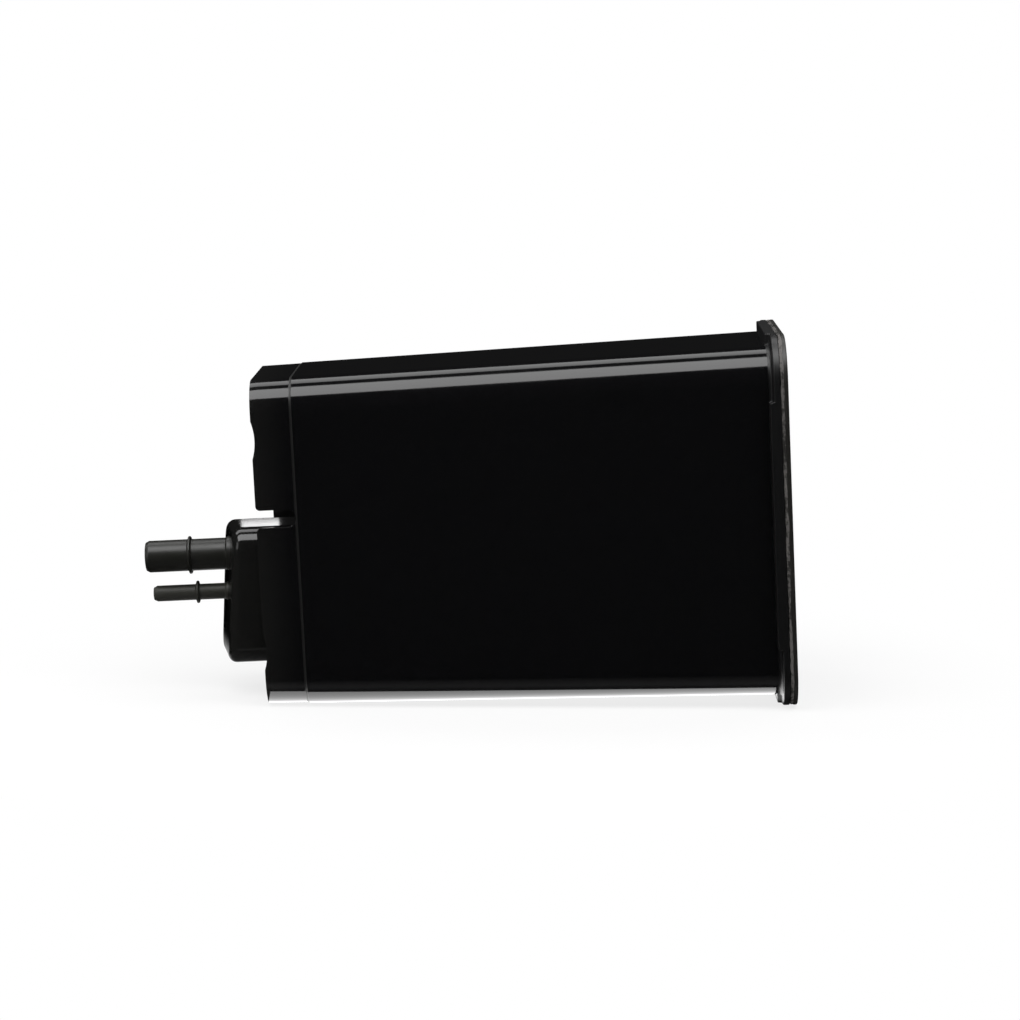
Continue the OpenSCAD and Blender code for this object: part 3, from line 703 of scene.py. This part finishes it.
def carbon_pellets():
    """Packed activated carbon: dull black cells raised like pellets, with painted shade in the gaps."""
    made, tree, shader, place = surface("activated_carbon_pellets", "#191817", Roughness=0.85)
    cells = add(tree, "ShaderNodeTexVoronoi", {"Vector": place, "Scale": per_mm(PELLET_SIZE)})
    tone = add(tree, "ShaderNodeValToRGB", {"Fac": cells.outputs["Distance"]})
    # The cells' borders get a near-black colour: painted shade in the gaps between pellets.
    pellet, painted_gap_shade = tone.color_ramp.elements
    pellet.color, painted_gap_shade.color = srgb("#24231f"), srgb("#0a0a09")
    bump = add(tree, "ShaderNodeBump",
               {"Height": cells.outputs["Distance"], "Strength": 0.8, "Distance": 0.8 * MM}, invert=True)
    tree.links.new(tone.outputs["Color"], shader.inputs["Base Color"])
    tree.links.new(bump.outputs["Normal"], shader.inputs["Normal"])
    return made


CARBON = carbon_pellets()
print("made", CARBON.name)

# %% [markdown]
# ## Fleece
# Needled polyester is a mat of tangled fibres. A distorted noise of about a fibre's spacing, in colour and
# in height, gives the tangle, and a little sheen gives the loose ends on its surface.

# %% Fleece of the pads
FIBRE_GAP = 0.8


def needled_fleece():
    """Polyester fleece: off-white, fully matt, with tangled fibres."""
    made, tree, shader, place = surface(
        "needled_polyester_fleece", "#d8d6cc", Roughness=0.95, Sheen_Weight=0.3)
    fibres = add(tree, "ShaderNodeTexNoise",
                 {"Vector": place, "Scale": per_mm(FIBRE_GAP), "Detail": 6.0, "Distortion": 2.0})
    tone = add(tree, "ShaderNodeValToRGB", {"Fac": fibres.outputs["Fac"]})
    shade, light = tone.color_ramp.elements
    shade.color, light.color = srgb("#bdbab0"), srgb("#e6e4dc")
    bump = add(tree, "ShaderNodeBump",
               {"Height": fibres.outputs["Fac"], "Strength": 0.6, "Distance": 0.4 * MM})
    tree.links.new(tone.outputs["Color"], shader.inputs["Base Color"])
    tree.links.new(bump.outputs["Normal"], shader.inputs["Normal"])
    return made


FLEECE = needled_fleece()
print("made", FLEECE.name)

# %% [markdown]
# ## Wire, and who wears what
# Spring wire is drawn through a die, which leaves it bright with fine lines. They are drawn here as a fine
# change of roughness. The retainer plates are nylon from a dull mould. Each inner solid then gets the
# finish that its name asks for.

# %% Wire of the springs and the inner solids
DRAW_LINE_GAP = 0.3


def spring_wire():
    """Drawn spring steel: grey metal with a fine change of roughness."""
    made, tree, shader, place = surface("drawn_spring_steel", "#8f9294", Metallic=1.0)
    lines = add(tree, "ShaderNodeTexNoise", {"Vector": place, "Scale": per_mm(DRAW_LINE_GAP), "Detail": 2.0})
    rough = add(tree, "ShaderNodeMapRange", {"Value": lines.outputs["Fac"], "To Min": 0.22, "To Max": 0.45})
    tree.links.new(rough.outputs["Result"], shader.inputs["Roughness"])
    return made


WIRE = spring_wire()
PLATE_GREY = satin_nylon("dull_plate_nylon", "#34363a", low=0.5, high=0.62, grain=0.8)
finishes = {"carbon_bed": CARBON, "fleece": FLEECE, "spring": WIRE, "retainer_plate": PLATE_GREY}
dressed = 0
for name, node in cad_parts.items():
    for key, material in finishes.items():
        if key in name:
            node.data.materials.clear()
            node.data.materials.append(material)
            dressed += 1
print("inner solids with a finish:", dressed)

# %% [markdown]
# ## The floor
# The canister rests on the lower edge of its flange and on the skirt's lower lip, so the floor is tilted
# a little against the box's axis.

# %% The floor's plane
FLOOR_HALF = 2.0  # metres

rest_high = housing_hi[2] - FLANGE_PROUD - (FLANGE_X + SKIRT_LEN) * DRAFT - SKIRT_STEP
skirt_foot = 2 * AXIS_Z - rest_high
tilt = math.atan2(skirt_foot, FLANGE_X + SKIRT_LEN)
flange_foot_x = (DECK_X + FLANGE_X) * MM
corners = np.array([(-1, -1), (1, -1), (1, 1), (-1, 1)]) * FLOOR_HALF
floor_points = np.stack([flange_foot_x + corners[:, 0] * math.cos(tilt), corners[:, 1],
                         -corners[:, 0] * math.sin(tilt)], 1)
floor_mesh = bpy.data.meshes.new("pale_floor")
floor_mesh.from_pydata(floor_points.tolist(), [], [(0, 1, 2, 3)])
floor = bpy.data.objects.new("pale_floor", floor_mesh)
bpy.context.scene.collection.objects.link(floor)
print(f"floor tilted by {math.degrees(tilt):.2f} degrees")

# %% [markdown]
# ## The floor's finish
# To the camera the floor is white, and it keeps a soft shadow close to the canister. To a gloss surface it
# is white only from the canister's middle backwards, and nearly dark in front of it apart from one faint
# band, as a white table at the edge of a dark room would be. That leaves the box's front black, with a grey
# sheen just above its foot.

# %% A white table
# The share of its own shading that the floor shows, and the distances in metres between which that fades.
SHADOW_SHARE, SHADOW_NEAR, SHADOW_FAR = 0.2, 0.19, 0.3
# What gloss sees of the floor: places across it in millimetres, and their brightness.
FLOOR_GLOSS = [(-76, 0.0), (-70, 0.05), (-54, 0.17), (-49, 0.03), (-2, 0.12),
               (28, 1.0), (100, 1.0), (160, 0.01)]
# The table's left end fades between these places along the canister.
TABLE_END = (-84, -60)


def pale_floor():
    """A white table: white to the camera, less a share of its own shading nearby, and graded to gloss."""
    made = bpy.data.materials.new("pale_floor")
    made.use_nodes = True
    tree = made.node_tree
    tree.nodes.clear()
    rays = add(tree, "ShaderNodeLightPath", {})
    place = add(tree, "ShaderNodeTexCoord", {}).outputs["Object"]
    away = add(tree, "ShaderNodeVectorMath", {0: place}, operation="LENGTH").outputs["Value"]
    share = add(tree, "ShaderNodeMapRange",
                {"Value": away, "From Min": SHADOW_NEAR, "From Max": SHADOW_FAR,
                 "To Min": SHADOW_SHARE, "To Max": 0.0})
    spot = add(tree, "ShaderNodeSeparateXYZ", {"Vector": place})
    left, right = ((DECK_X + x) * MM for x in TABLE_END)
    on_table = add(tree, "ShaderNodeMapRange",
                   {"Value": spot.outputs["X"], "From Min": left, "From Max": right})
    first, last = FLOOR_GLOSS[0][0], FLOOR_GLOSS[-1][0]
    across = add(tree, "ShaderNodeMapRange",
                 {"Value": spot.outputs["Y"], "From Min": first * MM, "From Max": last * MM})
    grade = add(tree, "ShaderNodeValToRGB", {"Fac": across.outputs["Result"]})
    stops = grade.color_ramp.elements
    for y, _ in FLOOR_GLOSS[1:-1]:
        stops.new((y - first) / (last - first))
    for stop, (_, level) in zip(stops, FLOOR_GLOSS):
        stop.color = (level, level, level, 1)
    matt = add(tree, "ShaderNodeBsdfDiffuse", {"Color": srgb("#e8e8e8")})
    white = add(tree, "ShaderNodeEmission", {"Color": (1, 1, 1, 1), "Strength": 1.0})
    mirrored = add(tree, "ShaderNodeEmission",
                   {"Color": grade.outputs["Color"], "Strength": on_table.outputs["Result"]})
    shown = add(tree, "ShaderNodeMixShader",
                {0: share.outputs["Result"], 1: white.outputs["Emission"], 2: matt.outputs["BSDF"]})
    other = add(tree, "ShaderNodeMixShader",
                {0: rays.outputs["Is Glossy Ray"], 1: matt.outputs["BSDF"], 2: mirrored.outputs["Emission"]})
    both = add(tree, "ShaderNodeMixShader",
               {0: rays.outputs["Is Camera Ray"], 1: other.outputs["Shader"], 2: shown.outputs["Shader"]})
    add(tree, "ShaderNodeOutputMaterial", {"Surface": both.outputs["Shader"]})
    return made


floor_mesh.materials.append(pale_floor())
print("stops of the floor's gloss:", len(FLOOR_GLOSS))

# %% [markdown]
# ## The room
# To the camera the room is as white as the floor. To everything else it is almost dark, because a black
# object shows each light wall that stands round it, and this one mirrors only its softboxes.

# %% World
ROOM_LIGHT = 0.009

world = bpy.data.worlds.new("white_room")
bpy.context.scene.world = world
world.use_nodes = True
room = world.node_tree
room.nodes.clear()
camera_ray = add(room, "ShaderNodeLightPath", {}).outputs["Is Camera Ray"]
room_level = add(room, "ShaderNodeMapRange", {"Value": camera_ray, "To Min": ROOM_LIGHT, "To Max": 1.0})
sky = add(room, "ShaderNodeBackground", {"Color": (1, 1, 1, 1), "Strength": room_level.outputs["Result"]})
add(room, "ShaderNodeOutputWorld", {"Surface": sky.outputs["Background"]})
print("room light:", ROOM_LIGHT)

# %% [markdown]
# ## Lights
# A black gloss object is lit by what it mirrors. One wide softbox hangs overhead and another stands high
# behind, and the gap between them is the dark line between the two stripes on the upper edge. A small card
# behind the ports whitens the dome's top, a softbox at the left models the dome and the spigots, and a light
# table under the box's front edge draws the pale strip along its foot. A lamp's power is worked out from its
# brightness and its area.

# %% Softboxes
LAMP_FAR, LAMP_WIDE, LAMP_AIM = 1.2, 2.6, (0, 0, 0.09)
# The elevations that the two upper softboxes span, counted from the front over the top to the back.
OVERHEAD_ARC, BACK_ARC = (48, 85), (102, 126)
# The card stands straight behind this place, in millimetres from the middle of the deck.
CARD_X, CARD_Z = -41.5, 39.9


def softbox(name, azimuth, elevation, distance, width, height, brightness, aim=LAMP_AIM):
    """An area lamp on a sphere round its aim; azimuth 0 is the front, elevation 90 is overhead."""
    lamp = bpy.data.lights.new(name, "AREA")
    lamp.shape, lamp.size, lamp.size_y = "RECTANGLE", width, height
    lamp.energy = brightness * math.pi * width * height
    made = bpy.data.objects.new(name, lamp)
    a, e = math.radians(azimuth), math.radians(elevation)
    back = Vector((math.sin(a) * math.cos(e), -math.cos(a) * math.cos(e), math.sin(e)))
    made.location = Vector(aim) + back * distance
    made.rotation_euler = back.to_track_quat("Z", "Y").to_euler()
    made.visible_camera = False
    bpy.context.scene.collection.objects.link(made)
    return made


def arc_height(low, high, distance):
    """The height of a softbox that spans two elevations, seen from its distance."""
    return 2 * distance * math.tan(math.radians(high - low) / 2)


overhead = softbox("overhead", azimuth=0, elevation=sum(OVERHEAD_ARC) / 2, distance=LAMP_FAR,
                   width=LAMP_WIDE, height=arc_height(*OVERHEAD_ARC, LAMP_FAR), brightness=4.2)
high_back = softbox("high_back", azimuth=180, elevation=180 - sum(BACK_ARC) / 2, distance=LAMP_FAR,
                    width=LAMP_WIDE, height=arc_height(*BACK_ARC, LAMP_FAR), brightness=2.2)
left_side = softbox("left_side", azimuth=-62, elevation=12, distance=1.0, width=0.35, height=0.45,
                    brightness=1.2)
port_card = softbox("port_card", azimuth=180, elevation=0, distance=0.19, width=0.021, height=0.0122,
                    brightness=3.0, aim=((DECK_X + CARD_X) * MM, 0, (AXIS_Z + CARD_Z) * MM))
print("heights of the upper softboxes:", round(overhead.data.size_y, 3), round(high_back.data.size_y, 3))

# %% [markdown]
# ## The light table
# The light table lies a hair above the tilted floor and shines upwards, so its place and turn are taken from
# the floor's.

# %% The light table
TABLE_X, TABLE_Y, TABLE_LIFT = (-20, 228), (-47, 20), 0.3

table_mid = (DECK_X + sum(TABLE_X) / 2) * MM
table_z = (flange_foot_x - table_mid) * math.tan(tilt) + TABLE_LIFT * MM
light_table = softbox("light_table", azimuth=0, elevation=-90, distance=0,
                      width=(TABLE_X[1] - TABLE_X[0]) * MM, height=(TABLE_Y[1] - TABLE_Y[0]) * MM,
                      brightness=3.4, aim=(table_mid, sum(TABLE_Y) / 2 * MM, table_z))
light_table.rotation_euler = (math.pi, tilt, 0)
lamps = (overhead, high_back, left_side, port_card, light_table)
print("lamp powers in watts:", [round(made.data.energy, 2) for made in lamps])

# %% [markdown]
# ## Camera
# The camera stands almost square to the front, a little above, at the distance and lens angle that put the
# outlines where the photograph has them. It is rolled a little, because the canister lies tilted on its
# skirt and flange while the picture's frame does not follow the box.

# %% Camera and view
CAMERA = dict(azimuth=1.21, elevation=8.71, roll=-2.73, distance=1.5836, angle=18.155)
AIM = Vector((0.02295, 0, 0.0963))
SENSOR = 36

a, e, r = (math.radians(CAMERA[k]) for k in ("azimuth", "elevation", "roll"))
back = Vector((math.sin(a) * math.cos(e), -math.cos(a) * math.cos(e), math.sin(e)))
level = Vector((math.cos(a), math.sin(a), 0))
upright = back.cross(level)
right = level * math.cos(r) + upright * math.sin(r)
up = upright * math.cos(r) - level * math.sin(r)
lens = bpy.data.cameras.new("catalogue_camera")
lens.sensor_width, lens.sensor_height, lens.angle = SENSOR, SENSOR, math.radians(CAMERA["angle"])
camera = bpy.data.objects.new("catalogue_camera", lens)
spot = AIM + back * CAMERA["distance"]
camera.matrix_world = Matrix([(*c, s) for c, s in zip(zip(right, up, back), spot)] + [(0, 0, 0, 1)])
bpy.context.scene.collection.objects.link(camera)
bpy.context.scene.camera = camera
bpy.context.scene.view_settings.view_transform = "Standard"
print("lens", round(lens.lens, 1), "mm")

# %% [markdown]
# ## The last update
# The view layer is brought up to date at the end. The dressed part must not outgrow the solids.

# %% Bring the view layer up to date
bpy.context.view_layer.update()
